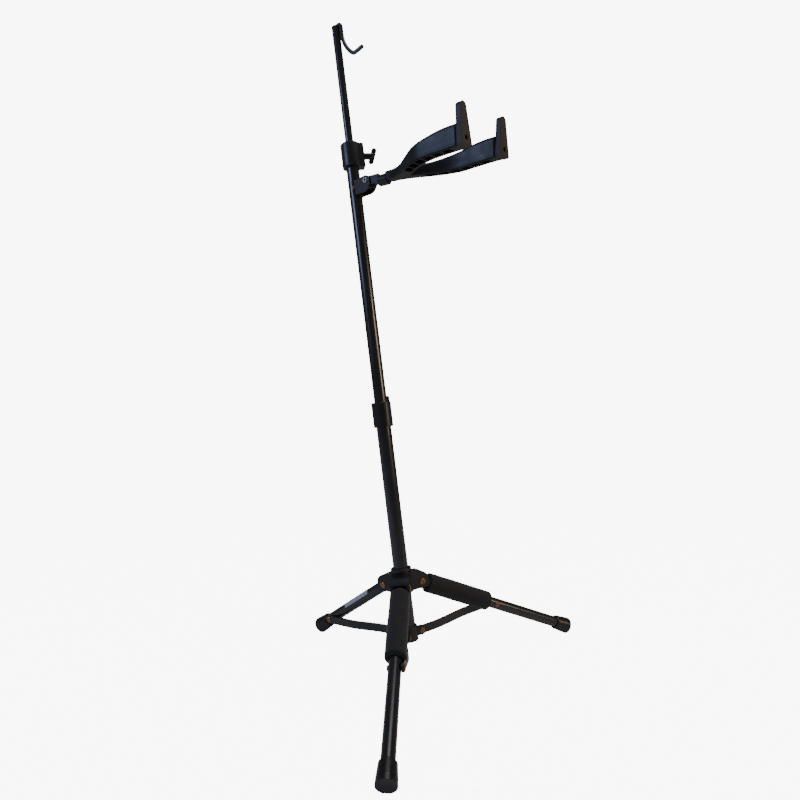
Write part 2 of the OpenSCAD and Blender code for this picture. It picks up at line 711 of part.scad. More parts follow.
module leg_hub() color("#1d1e21") pole_frame() difference() {
    union() {
        up(hub_foot) cylinder(d = hub_sleeve_d, h = hub_top - hub_foot);
        for (az = directions) rotate([0, 0, az]) hood();
    }
    up(hub_foot - 1) cylinder(d = hub_bore, h = hub_top - hub_foot + 30);
}

module hub_ring() color("#222327") pole_frame() up(hub_top) difference() {
    rotate_extrude() polygon([[0, 0], [ring_d / 2 - 1.6, 0], [ring_d / 2 - 1.6, 1.6], [ring_d / 2, 2.2],
                              [ring_d / 2, ring_h - 1], [ring_d / 2 - 1, ring_h], [0, ring_h]]);
    up(-1) cylinder(d = hub_bore, h = ring_h + 2);
}

module rivet(shank_d, length, cap_d, cap_t) {
    cylinder(d = shank_d, h = length, center = true);
    for (side = [0, 180]) rotate([side, 0, 0]) up(length / 2) rivet_head(cap_d, cap_t);
}

module hub_rivets() color("#a97f5c") for (az = directions) arm_frame(az)
    translate([pivot_r, 0, 0]) along_y() rivet(rivet_d, hub_w, head_d, head_t);

// ---- lower hub ----

module strut_hub() color("#1b1c1f") pole_frame() difference() {
    union() {
        up(strut_foot_s) turned(strut_hub_d, strut_hub_h, 1, 1);
        for (az = directions) rotate([0, 0, az]) difference() {
            rotate([90, 0, 0]) up(-strut_gap / 2 - strut_ear_t)
                linear_extrude(height = strut_gap + 2 * strut_ear_t) {
                    translate([0, -strut_base_drop - strut_h / 2]) square([strut_base_r, strut_h]);
                    translate([strut_base_r, -strut_base_drop]) circle(d = strut_h);
                }
            translate([strut_base_r - strut_h / 2 - 1, -strut_gap / 2, -strut_base_drop - 20])
                cube([40, strut_gap, 40]);
            translate([strut_base_r, 0, -strut_base_drop]) along_y()
                cylinder(d = strut_rivet_d, h = 40, center = true);
        }
    }
    up(tube_foot) cylinder(d = outer_d, h = 60);
    up(strut_foot_s - 1) cylinder(d = outer_d - 6, h = 60);
    up(tube_foot - 2) cylinder(d = outer_d, h = 3);
    for (az = directions) rotate([0, 0, az])
        translate([strut_base_r - strut_h / 2 - 1, -strut_gap / 2, -strut_base_drop - 20])
            cube([40, strut_gap, 40]);
}

module strut_hub_rivets() color("#a97f5c") for (az = directions) arm_frame(az)
    translate([strut_base_r, 0, -strut_base_drop]) along_y()
        rivet(strut_rivet_d, strut_gap + 2 * strut_ear_t, strut_head_d, strut_head_t);

// ---- legs ----

module leg(az) color("#17181c") leg_frame(az) difference() {
    translate([-leg_back, 0, 0]) along_x() tube(leg_d, leg_wall, leg_len(az) - foot_wall + leg_back);
    along_y() cylinder(d = rivet_d + 2 * run_gap, h = 2 * leg_d, center = true);
    translate([strut_at, 0, 0]) along_y() cylinder(d = strut_rivet_d, h = 2 * leg_d, center = true);
}

module leg_front_left() leg(az_left);
module leg_front_right() leg(az_right);
module leg_rear() leg(az_rear);

// Rivet through the leg: a head on the free side, flush on the strut's side
module leg_rivet(az) color("#a97f5c") leg_frame(az) translate([strut_at, 0, 0]) rotate([90, 0, 0]) {
    up(-leg_d / 2 + 0.6) cylinder(d = strut_rivet_d, h = leg_d - 0.6);
    up(leg_d / 2) rivet_head(strut_head_d, strut_head_t + 0.6);
}

module leg_rivets_front_left() leg_rivet(az_left);
module leg_rivets_front_right() leg_rivet(az_right);
module leg_rivets_rear() leg_rivet(az_rear);

// Foam sleeve, pressed flat at its end where the strut swings beside the leg
module foam(az) color("#26262a") difference() {
    leg_frame(az) translate([foam_start, 0, 0]) along_x() difference() {
        turned(foam_d, foam_end - foam_start, 2.5, 2.5);
        up(-1) cylinder(d = leg_d, h = foam_end);
    }
    leg_frame(az) translate([foam_end - foam_press_l, leg_d / 2 + air / 2, -foam_d])
        cube([foam_press_l + 1, foam_d, 2 * foam_d]);
}

module foam_left() foam(az_left);
module foam_right() foam(az_right);

// Cup with a chamfered neck, flared to the sole, trimmed flat where it stands
module foot(az) color("#111113") difference() {
    leg_frame(az) translate([leg_len(az) - foot_l, 0, 0]) along_x() difference() {
        rotate_extrude() polygon([[0, 0], [foot_neck_d / 2 - 1.6, 0], [foot_neck_d / 2, 1.8],
                                  [foot_d / 2 - 0.3, foot_l * 0.72], [foot_d / 2, foot_l - 1],
                                  [foot_d / 2, foot_l], [0, foot_l]]);
        up(-1) cylinder(d = leg_d, h = foot_l + 1 - foot_wall);
    }
    translate([-500, -500, -100]) cube([1000, 1000, 100]);
}

module foot_front_left() foot(az_left);
module foot_front_right() foot(az_right);
module foot_rear() foot(az_rear);

// Blank paper label, curved round the upper side of the rear leg
module leg_label() color("#cfd0d6") leg_frame(az_rear) translate([label_at, 0, 0]) along_x()
    rotate([0, 0, label_turn]) rotate_extrude(angle = label_arc)
        translate([leg_d / 2, 0]) square([0.25, label_l]);

// ---- struts ----

// The bar runs in the fork of the lower hub, then steps sideways to lie beside the leg
function joggle(l) = strut_side * ease((l - joggle_start) / joggle_l);
module strut_plan() polygon(concat(
    [for (i = [0:strut_steps]) let (l = -strut_h + (strut_len + 2 * strut_h) * i / strut_steps)
        [l, joggle(l) - strut_t / 2]],
    [for (i = [strut_steps:-1:0]) let (l = -strut_h + (strut_len + 2 * strut_h) * i / strut_steps)
        [l, joggle(l) + strut_t / 2]]));

module strut(az) color("#191a1d") strut_frame(az) difference() {
    intersection() {
        up(-strut_h) linear_extrude(height = 2 * strut_h) strut_plan();
        rotate([90, 0, 0]) up(-leg_d) linear_extrude(height = 2 * leg_d) {
            translate([0, -strut_h / 2]) square([strut_len, strut_h]);
            circle(d = strut_h);
            translate([strut_len, 0]) circle(d = strut_h);
        }
    }
    along_y() cylinder(d = strut_rivet_d + 2 * run_gap, h = 2 * leg_d, center = true);
    translate([strut_len, 0, 0]) along_y() cylinder(d = strut_rivet_d, h = 4 * leg_d, center = true);
}

module strut_front_left() strut(az_left);
module strut_front_right() strut(az_right);
module strut_rear() strut(az_rear);

// Stud in the strut's outer eye; it stops short of the leg
module strut_stud(az) color("#a97f5c") strut_frame(az) translate([strut_len, strut_side - strut_t / 2, 0]) along_y() {
    cylinder(d = strut_rivet_d, h = strut_t);
    up(strut_t) rivet_head(strut_head_d, strut_head_t + 0.6);
}

module strut_stud_front_left() strut_stud(az_left);
module strut_stud_front_right() strut_stud(az_right);
module strut_stud_rear() strut_stud(az_rear);

outer_tube();
base_plug();
clutch_housing();
release_button();
clutch_plates();
clutch_spring();
guide_bush();
inner_tube();
rod_bush();
hook_rod();
hook_plug();
hook();
clamp_collar();
thread_insert();
pressure_pad();
wing_screw();
yoke_bracket();
bracket_rivets();
yoke_rivet();
yoke_knuckle();
yoke_frame();
arm_cover_left();
arm_cover_right();
lip_left();
lip_right();
lip_screws();
leg_hub();
hub_ring();
hub_rivets();
strut_hub();
strut_hub_rivets();
leg_front_left();
leg_front_right();
leg_rear();
leg_rivets_front_left();
leg_rivets_front_right();
leg_rivets_rear();
foam_left();
foam_right();
foot_front_left();
foot_front_right();
foot_rear();
leg_label();
strut_front_left();
strut_front_right();
strut_rear();
strut_stud_front_left();
strut_stud_front_right();
strut_stud_rear();
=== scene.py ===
import json
import math
import bmesh
import bpy
from mathutils import Matrix, Vector, noise


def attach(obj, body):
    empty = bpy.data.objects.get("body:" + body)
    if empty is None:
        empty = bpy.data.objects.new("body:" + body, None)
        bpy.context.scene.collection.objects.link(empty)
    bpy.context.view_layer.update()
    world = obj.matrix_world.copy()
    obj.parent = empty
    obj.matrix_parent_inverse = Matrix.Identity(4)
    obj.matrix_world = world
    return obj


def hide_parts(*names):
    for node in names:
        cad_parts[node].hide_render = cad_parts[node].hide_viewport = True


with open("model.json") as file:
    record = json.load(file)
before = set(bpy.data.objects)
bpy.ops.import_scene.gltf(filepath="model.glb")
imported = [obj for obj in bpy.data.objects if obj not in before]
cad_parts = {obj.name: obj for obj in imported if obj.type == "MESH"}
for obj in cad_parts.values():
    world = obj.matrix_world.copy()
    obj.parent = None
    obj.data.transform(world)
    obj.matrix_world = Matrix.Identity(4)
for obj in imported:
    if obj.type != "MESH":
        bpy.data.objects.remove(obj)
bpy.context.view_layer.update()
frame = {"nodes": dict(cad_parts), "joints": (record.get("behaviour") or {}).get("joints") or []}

# ---- Studio: a pale floor and backdrop, soft light from both sides, and the camera ----
# The light from the left is cool and the one from the right is warm, as beside a window. The paper is a plain
# matt sheet that stays on the stage and belongs to no piece.


def colour(hex_text):
    """An sRGB hex colour as linear red, green, blue and alpha."""
    parts = [int(hex_text[i:i + 2], 16) / 255 for i in (1, 3, 5)]
    linear = [c / 12.92 if c <= 0.04045 else ((c + 0.055) / 1.055) ** 2.4 for c in parts]
    return (*linear, 1.0)


def add(material, kind, settings=None, links=None):
    """Adds a node, gives its sockets or properties their values, and links its inputs.

    A socket is named, or numbered where names repeat. "stops" is a colour ramp's (position, colour) list.
    """
    tree = material.node_tree
    node = tree.nodes.new(kind)
    for name, value in (settings or {}).items():
        if name == "stops":
            elements = node.color_ramp.elements
            while len(elements) < len(value):
                elements.new(0.5)
            for element, (position, hex_text) in zip(elements, value):
                element.position = position
                element.color = colour(hex_text)
        elif isinstance(name, int) or name in node.inputs.keys():
            node.inputs[name].default_value = value
        else:
            setattr(node, name, value)
    for name, output in (links or {}).items():
        tree.links.new(output, node.inputs[name])
    return node


def new_material(name):
    """An empty material, and the Object coordinates to work from."""
    material = bpy.data.materials.new(name)
    material.use_nodes = True
    material.node_tree.nodes.clear()
    place = add(material, "ShaderNodeTexCoord").outputs["Object"]
    return material, place


# strength of the white backdrop as it is seen, and of the soft daylight that falls on the stand
backdrop_glow = 9.0
room_light = 0.14
floor_half = 14


def sweep_paper():
    """Pale matt paper, faintly mottled every 11 mm, glowing to the camera so that it reads as white."""
    material, place = new_material("studio_paper")
    mottle = add(material, "ShaderNodeTexNoise", {"Scale": 90.0, "Detail": 3.0}, {"Vector": place})
    tint = add(material, "ShaderNodeValToRGB", {"stops": [(0.35, "#F3F3F2"), (0.65, "#F8F8F7")]},
               {"Fac": mottle.outputs["Fac"]}).outputs["Color"]
    matt = add(material, "ShaderNodeBsdfDiffuse", links={"Color": tint})
    seen = add(material, "ShaderNodeLightPath").outputs["Is Camera Ray"]
    glow = add(material, "ShaderNodeMath", {"operation": "MULTIPLY", 1: backdrop_glow}, {0: seen})
    shine = add(material, "ShaderNodeEmission", links={"Color": tint, "Strength": glow.outputs["Value"]})
    both = add(material, "ShaderNodeAddShader", links={0: matt.outputs["BSDF"], 1: shine.outputs["Emission"]})
    add(material, "ShaderNodeOutputMaterial", links={"Surface": both.outputs["Shader"]})
    return material


floor_bm = bmesh.new()
bmesh.ops.create_grid(floor_bm, x_segments=1, y_segments=1, size=floor_half)
floor_mesh = bpy.data.meshes.new("floor")
floor_bm.to_mesh(floor_mesh)
floor_bm.free()
floor = bpy.data.objects.new("floor", floor_mesh)
bpy.context.scene.collection.objects.link(floor)
floor_mesh.materials.append(sweep_paper())

world = bpy.data.worlds.new("studio")
bpy.context.scene.world = world
world.use_nodes = True
backdrop = world.node_tree.nodes["Background"]
backdrop.inputs["Color"].default_value = colour("#F6F7F9")
bright = add(world, "ShaderNodeMapRange", {"To Min": room_light, "To Max": backdrop_glow},
             {"Value": add(world, "ShaderNodeLightPath").outputs["Is Camera Ray"]})
world.node_tree.links.new(bright.outputs["Result"], backdrop.inputs["Strength"])


def soft_light(name, place, size, power, tint):
    """A square soft box aimed at the middle of the stand."""
    light = bpy.data.lights.new(name, "AREA")
    light.size = size
    light.energy = power
    light.color = colour(tint)[:3]
    lamp = bpy.data.objects.new(name, light)
    lamp.location = place
    aim = Vector((0, -0.1, 0.5)) - Vector(place)
    lamp.rotation_euler = aim.to_track_quat("-Z", "Y").to_euler()
    bpy.context.scene.collection.objects.link(lamp)


soft_light("window_left", (-1.7, 0.9, 1.4), 0.8, 14, "#B8CAFF")
soft_light("lamp_right", (0.6, -2.2, 1.2), 0.7, 16, "#FFE3C2")
soft_light("overhead", (0.2, -0.3, 2.8), 1.4, 17, "#FFFFFF")

camera_data = bpy.data.cameras.new("camera")
camera_data.lens = 27.24
camera_data.sensor_width = 36
camera = bpy.data.objects.new("camera", camera_data)
camera_heading = 36.60
camera_pitch = -3.07
camera_roll = 0.38
camera.matrix_world = (Matrix.Translation((-0.8068, -0.5936, 0.4941))
                       @ Matrix.Rotation(math.radians(camera_heading - 90), 4, "Z")
                       @ Matrix.Rotation(math.radians(90 + camera_pitch), 4, "X")
                       @ Matrix.Rotation(math.radians(camera_roll), 4, "Z"))
bpy.context.scene.collection.objects.link(camera)
bpy.context.scene.camera = camera

# ---- Tubes and struts: welded steel tube and flat bar, powder coated black ----
# The tubes are cut to length and coated before they are riveted. The coat leaves a fine orange peel and a
# soft gloss, flatter on the pressed struts. Tubes that slide in one another carry long faint rub marks.

MM = 0.001
nodes = frame["nodes"]
pole_lean = math.radians(9.15)
# sockets of a colour mix
MIX_A = 6
MIX_B = 7
MIX_RESULT = 2


def dress(material, *names):
    """Gives CAD nodes one material."""
    for name in names:
        mesh = nodes[name].data
        mesh.materials.clear()
        mesh.materials.append(material)


def powder_coat(name, tone_dark, tone_light, gloss, peel_mm=1.4, rubbed=False):
    """Powder coat on steel: orange peel, a tone that drifts over 56 mm, and rub marks where tubes slide."""
    material, place = new_material(name)
    slow = add(material, "ShaderNodeTexNoise", {"Scale": 18.0, "Detail": 4.0, "Roughness": 0.6},
               {"Vector": place})
    tone = add(material, "ShaderNodeValToRGB", {"stops": [(0.3, tone_dark), (0.7, tone_light)]},
               {"Fac": slow.outputs["Fac"]}).outputs["Color"]
    rough = add(material, "ShaderNodeMapRange",
                {"From Min": 0.3, "From Max": 0.7, "To Min": gloss - 0.05, "To Max": gloss + 0.07},
                {"Value": slow.outputs["Fac"]}).outputs["Result"]
    if rubbed:
        # rub marks about 0.6 mm wide and 60 mm long: they stand upright, so they cross the pole at its lean
        along = add(material, "ShaderNodeMapping",
                    {"Rotation": (pole_lean, 0, 0), "Scale": (1600, 1600, 16)}, {"Vector": place})
        marks = add(material, "ShaderNodeTexNoise", {"Scale": 1.0, "Detail": 2.0},
                    {"Vector": along.outputs["Vector"]})
        mark = add(material, "ShaderNodeMapRange",
                   {"From Min": 0.62, "From Max": 0.72, "To Min": 0.0, "To Max": 1.0},
                   {"Value": marks.outputs["Fac"]}).outputs["Result"]
        tone = add(material, "ShaderNodeMix", {"data_type": "RGBA", MIX_B: colour("#2A2A2C")},
                   {"Factor": mark, MIX_A: tone}).outputs[MIX_RESULT]
    peel = add(material, "ShaderNodeTexNoise", {"Scale": 1000 / peel_mm, "Detail": 2.0}, {"Vector": place})
    edge = add(material, "ShaderNodeBevel", {"samples": 4, "Radius": 0.5 * MM})
    bump = add(material, "ShaderNodeBump", {"Strength": 0.22, "Distance": 0.04 * MM},
               {"Height": peel.outputs["Fac"], "Normal": edge.outputs["Normal"]})
    surface = add(material, "ShaderNodeBsdfPrincipled",
                  {"Metallic": 0.0, "Coat Weight": 0.35, "Coat Roughness": 0.16,
                   "Specular IOR Level": 0.55},
                  {"Base Color": tone, "Roughness": rough, "Normal": bump.outputs["Normal"]})
    add(material, "ShaderNodeOutputMaterial", links={"Surface": surface.outputs["BSDF"]})
    return material


tube_coat = powder_coat("powder_coated_steel", "#0E0F12", "#17181C", 0.30)
slide_coat = powder_coat("rubbed_powder_coat", "#0D0E11", "#16161A", 0.27, rubbed=True)
strut_coat = powder_coat("satin_powder_coat", "#0C0D0F", "#141517", 0.42, 1.0)
dress(tube_coat, "outer_tube", "leg_front_left", "leg_front_right", "leg_rear")
dress(slide_coat, "inner_tube", "hook_rod")
dress(strut_coat, "strut_front_left", "strut_front_right", "strut_rear")

# ---- Hubs, clutch housing and clamp collar: glass-filled nylon, moulded with a fine spark texture ----
# The hub, its ring and the lower hub have the deepest grain; the housing and the collar are smoother, and the
# button and the wing screw are glossy. White acetal is used for the guides inside the tubes.


def moulded(name, tone_dark, tone_light, gloss, grain_mm, depth=0.3, edge_mm=0.7):
    """Injection moulded plastic: spark-eroded grain, softened edges, and a tone that drifts over 29 mm."""
    material, place = new_material(name)
    cloud = add(material, "ShaderNodeTexNoise", {"Scale": 35.0, "Detail": 5.0}, {"Vector": place})
    tone = add(material, "ShaderNodeValToRGB", {"stops": [(0.32, tone_dark), (0.68, tone_light)]},
               {"Fac": cloud.outputs["Fac"]}).outputs["Color"]
    rough = add(material, "ShaderNodeMapRange",
                {"From Min": 0.3, "From Max": 0.7, "To Min": gloss - 0.06, "To Max": gloss + 0.06},
                {"Value": cloud.outputs["Fac"]}).outputs["Result"]
    grain = add(material, "ShaderNodeTexNoise", {"Scale": 1000 / grain_mm, "Detail": 3.0, "Roughness": 0.65},
                {"Vector": place})
    edge = add(material, "ShaderNodeBevel", {"samples": 4, "Radius": edge_mm * MM})
    bump = add(material, "ShaderNodeBump", {"Strength": depth, "Distance": 0.06 * MM},
               {"Height": grain.outputs["Fac"], "Normal": edge.outputs["Normal"]})
    surface = add(material, "ShaderNodeBsdfPrincipled", {"Specular IOR Level": 0.5},
                  {"Base Color": tone, "Roughness": rough, "Normal": bump.outputs["Normal"]})
    add(material, "ShaderNodeOutputMaterial", links={"Surface": surface.outputs["BSDF"]})
    return material


nylon_black = moulded("spark_textured_nylon", "#141518", "#1F2023", 0.46, 0.9, 0.4)
housing_nylon = moulded("smooth_moulded_nylon", "#121316", "#1B1C1F", 0.38, 1.3, 0.25)
gloss_abs = moulded("gloss_abs", "#0B0B0D", "#121214", 0.20, 2.5, 0.08, 0.6)
dress(nylon_black, "leg_hub", "hub_ring", "strut_hub", "base_plug", "hook_plug")
dress(housing_nylon, "clutch_housing", "clamp_collar")
dress(gloss_abs, "release_button", "wing_screw")
guide_nylon = moulded("natural_acetal", "#CFCCC2", "#E2E0D8", 0.4, 1.5, 0.15)
dress(guide_nylon, "guide_bush", "rod_bush", "pressure_pad")

# ---- Rivets and springs ----
# Coppered steel rivets join the legs, hubs and struts, and their heads are dull and slightly tarnished. The
# yoke swings on a hollow rivet of bare turned steel. The thread insert and the bracket's rivets are brass.


def bare_metal(name, tone_dark, tone_light, gloss, lay_mm):
    """Bare metal with fine tool marks, and tarnish in blotches 4 mm across."""
    material, place = new_material(name)
    tarnish = add(material, "ShaderNodeTexNoise", {"Scale": 260.0, "Detail": 4.0, "Roughness": 0.6},
                  {"Vector": place})
    tone = add(material, "ShaderNodeValToRGB", {"stops": [(0.3, tone_dark), (0.65, tone_light)]},
               {"Fac": tarnish.outputs["Fac"]}).outputs["Color"]
    rough = add(material, "ShaderNodeMapRange",
                {"From Min": 0.3, "From Max": 0.7, "To Min": gloss + 0.12, "To Max": gloss - 0.04},
                {"Value": tarnish.outputs["Fac"]}).outputs["Result"]
    lay = add(material, "ShaderNodeTexNoise", {"Scale": 1000 / lay_mm, "Detail": 2.0}, {"Vector": place})
    edge = add(material, "ShaderNodeBevel", {"samples": 4, "Radius": 0.35 * MM})
    bump = add(material, "ShaderNodeBump", {"Strength": 0.2, "Distance": 0.03 * MM},
               {"Height": lay.outputs["Fac"], "Normal": edge.outputs["Normal"]})
    surface = add(material, "ShaderNodeBsdfPrincipled", {"Metallic": 1.0},
                  {"Base Color": tone, "Roughness": rough, "Normal": bump.outputs["Normal"]})
    add(material, "ShaderNodeOutputMaterial", links={"Surface": surface.outputs["BSDF"]})
    return material


copper_rivet = bare_metal("tarnished_copper_plate", "#5E4534", "#B58A68", 0.34, 0.5)
turned_steel = bare_metal("turned_steel", "#77756F", "#C9C6BF", 0.28, 0.4)
brass = bare_metal("drawn_brass", "#8C6B33", "#C9A25A", 0.3, 0.5)
dress(copper_rivet, "hub_rivets", "strut_hub_rivets", "leg_rivets_front_left", "leg_rivets_front_right",
      "leg_rivets_rear", "strut_stud_front_left", "strut_stud_front_right", "strut_stud_rear")
dress(turned_steel, "yoke_rivet", "clutch_plates", "clutch_spring")
dress(brass, "thread_insert", "bracket_rivets")

# ---- Hook: 7 mm steel wire, bent cold and dipped in brown-black paint ----
# It is pushed into a plug in the top of the rod. Dipping leaves a thick soft coat, glossy at the bends.
wire_paint = powder_coat("dipped_wire_paint", "#1A1613", "#26211D", 0.34, 2.2)
dress(wire_paint, "hook")

# ---- Feet: slip-on caps of black rubber ----
# Each is moulded in one piece with a flared sole and pushed over the end of a leg. The rubber is glossy from
# the mould, and the sole is greyed with dust.


def cap_rubber():
    """Moulded rubber, cloudy every 7 mm, with floor dust in its lowest 6 mm."""
    material, place = new_material("moulded_rubber")
    cloud = add(material, "ShaderNodeTexNoise", {"Scale": 140.0, "Detail": 5.0, "Roughness": 0.7},
                {"Vector": place})
    base = add(material, "ShaderNodeValToRGB", {"stops": [(0.3, "#0B0B0D"), (0.7, "#131316")]},
               {"Fac": cloud.outputs["Fac"]}).outputs["Color"]
    height = add(material, "ShaderNodeSeparateXYZ", links={"Vector": place})
    low = add(material, "ShaderNodeMapRange",
              {"From Min": 0.0005, "From Max": 0.006, "To Min": 1.0, "To Max": 0.0},
              {"Value": height.outputs["Z"]}).outputs["Result"]
    cover = add(material, "ShaderNodeMapRange",
                {"From Min": 0.3, "From Max": 0.7, "To Min": 0.15, "To Max": 0.8},
                {"Value": cloud.outputs["Fac"]}).outputs["Result"]
    patchy = add(material, "ShaderNodeMath", {"operation": "MULTIPLY"}, {0: low, 1: cover})
    dust = add(material, "ShaderNodeMix", {"data_type": "RGBA", MIX_B: colour("#3B3936")},
               {"Factor": patchy.outputs["Value"], MIX_A: base})
    rough = add(material, "ShaderNodeMapRange",
                {"From Min": 0.3, "From Max": 0.7, "To Min": 0.24, "To Max": 0.4},
                {"Value": cloud.outputs["Fac"]}).outputs["Result"]
    edge = add(material, "ShaderNodeBevel", {"samples": 4, "Radius": 1.0 * MM})
    bump = add(material, "ShaderNodeBump", {"Strength": 0.2, "Distance": 0.05 * MM},
               {"Height": cloud.outputs["Fac"], "Normal": edge.outputs["Normal"]})
    surface = add(material, "ShaderNodeBsdfPrincipled", {"Specular IOR Level": 0.55},
                  {"Base Color": dust.outputs[MIX_RESULT], "Roughness": rough,
                   "Normal": bump.outputs["Normal"]})
    add(material, "ShaderNodeOutputMaterial", links={"Surface": surface.outputs["BSDF"]})
    return material


dress(cap_rubber(), "foot_front_left", "foot_front_right", "foot_rear")

# ---- Label: a strip of coated paper ----
# It is glued round the upper side of the rear leg. It is left blank, with faint scuffs.


def coated_paper():
    """Off-white paper with faint scuffs 4 mm across and no print."""
    material, place = new_material("coated_paper")
    scuff = add(material, "ShaderNodeTexNoise", {"Scale": 240.0, "Detail": 6.0, "Roughness": 0.7},
                {"Vector": place})
    tone = add(material, "ShaderNodeValToRGB",
               {"stops": [(0.3, "#8E909B"), (0.5, "#B4B6C0"), (0.75, "#C9CAD2")]},
               {"Fac": scuff.outputs["Fac"]}).outputs["Color"]
    surface = add(material, "ShaderNodeBsdfPrincipled", {"Roughness": 0.5}, {"Base Color": tone})
    add(material, "ShaderNodeOutputMaterial", links={"Surface": surface.outputs["BSDF"]})
    return material


dress(coated_paper(), "leg_label")

# ---- Foam sleeves: extruded closed-cell foam pushed over the front legs, cut and rounded by hand ----
# They keep the instrument's body off the steel. The skin is dull and pitted by fine cells.

joints = {joint["name"]: joint for joint in frame["joints"]}
leg_spread = math.radians(63)
foam_from = 15 * MM
foam_to = 142 * MM
foam_r = 16.6 * MM
foam_bore = 9.7 * MM
foam_round = 3.2 * MM
# dents per metre and their depth in millimetres, for the long dents and the short ones
long_dents, long_depth = 34, 0.35
short_dents, short_depth = 110, 0.12
foam_shrink = 0.25


def cell_foam():
    """Closed-cell foam: cells about 1.1 mm across, over soft dents 6 mm across."""
    material, place = new_material("closed_cell_foam")
    cells = add(material, "ShaderNodeTexVoronoi", {"Scale": 1000 / 1.1, "Randomness": 1.0}, {"Vector": place})
    dents = add(material, "ShaderNodeTexNoise", {"Scale": 1000 / 6.25, "Detail": 5.0, "Roughness": 0.6},
                {"Vector": place})
    tone = add(material, "ShaderNodeValToRGB",
               {"stops": [(0.3, "#17181A"), (0.55, "#1F2022"), (0.75, "#28292B")]},
               {"Fac": dents.outputs["Fac"]}).outputs["Color"]
    rough = add(material, "ShaderNodeMapRange",
                {"From Min": 0.3, "From Max": 0.7, "To Min": 0.72, "To Max": 0.88},
                {"Value": dents.outputs["Fac"]}).outputs["Result"]
    pits = add(material, "ShaderNodeBump", {"Strength": 0.55, "Distance": 0.12 * MM},
               {"Height": cells.outputs["Distance"]})
    skin = add(material, "ShaderNodeBump", {"Strength": 0.35, "Distance": 0.25 * MM},
               {"Height": dents.outputs["Fac"], "Normal": pits.outputs["Normal"]})
    surface = add(material, "ShaderNodeBsdfPrincipled",
                  {"Sheen Weight": 0.18, "Sheen Roughness": 0.5, "Specular IOR Level": 0.35},
                  {"Base Color": tone, "Roughness": rough, "Normal": skin.outputs["Normal"]})
    add(material, "ShaderNodeOutputMaterial", links={"Surface": surface.outputs["BSDF"]})
    return material


foam_skin = cell_foam()


def finish_piece(name, bm, body, slot, material, *stands_for):
    """Makes a piece from a bmesh, smooth shaded, and says what it rides on and stands for."""
    mesh = bpy.data.meshes.new(name)
    bm.to_mesh(mesh)
    bm.free()
    for face in mesh.polygons:
        face.use_smooth = True
    piece = bpy.data.objects.new(name, mesh)
    bpy.context.scene.collection.objects.link(piece)
    mesh.materials.append(material)
    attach(piece, body)
    if stands_for:
        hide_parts(*stands_for)
    return piece


def leg_place(joint_name):
    """The frame of a leg: X along the leg from its pivot, Y along the pivot pin."""
    pin = Vector(joints[joint_name]["axis"]).normalized()
    pole = Vector(joints["hub_slide"]["axis"]).normalized()
    outward = pin.cross(pole)
    along = outward * math.sin(leg_spread) - pole * math.cos(leg_spread)
    turn = Matrix((along, pin, along.cross(pin))).transposed().to_4x4()
    return Matrix.Translation(joints[joint_name]["pos_m"]) @ turn


def foam_sleeve(name, joint_name, body, node_name):
    """One sleeve: its outline spun round the leg, then dented a little by slow noise."""
    bm = bmesh.new()
    corner = [math.radians(a) for a in range(0, 91, 15)]
    outline = [(foam_from, foam_bore)]
    outline += [(foam_from + foam_round * (1 - math.sin(a)), foam_r - foam_round * (1 - math.cos(a)))
                for a in reversed(corner)]
    outline += [(foam_from + (foam_to - foam_from) * t / 26, foam_r) for t in range(1, 26)]
    outline += [(foam_to - foam_round * (1 - math.sin(a)), foam_r - foam_round * (1 - math.cos(a)))
                for a in corner]
    outline += [(foam_to, foam_bore), (foam_from, foam_bore)]
    ring = [bm.verts.new((x, 0, r)) for x, r in outline[:-1]]
    for first, second in zip(ring, ring[1:] + ring[:1]):
        bm.edges.new((first, second))
    bmesh.ops.spin(bm, geom=bm.verts[:] + bm.edges[:], axis=(1, 0, 0), cent=(0, 0, 0),
                   angle=math.tau, steps=72, use_merge=True)
    bmesh.ops.remove_doubles(bm, verts=bm.verts, dist=1e-6)
    bmesh.ops.recalc_face_normals(bm, faces=bm.faces)
    bm.normal_update()
    for vert in bm.verts:
        reach = math.hypot(vert.co.y, vert.co.z)
        if reach > foam_bore + 1 * MM:
            soft = (noise.noise(vert.co * long_dents) * long_depth
                    + noise.noise(vert.co * short_dents) * short_depth)
            vert.co += vert.normal * (soft - foam_shrink) * MM
    bmesh.ops.transform(bm, matrix=leg_place(joint_name), verts=bm.verts)
    piece = finish_piece(name, bm, body, "foam", foam_skin, node_name)


foam_sleeve("foam_sleeve_left", "front_left_leg_fold", "front_left_leg", "foam_left")
foam_sleeve("foam_sleeve_right", "front_right_leg_fold", "front_right_leg", "foam_right")

# ---- Yoke bracket and knuckle: pressed steel, powder coated ----
# The bracket's saddle is riveted round the inner tube, and the knuckle swings between its two cheeks. The
# coat is worn bare along the cut edges, where hands and instruments rub.


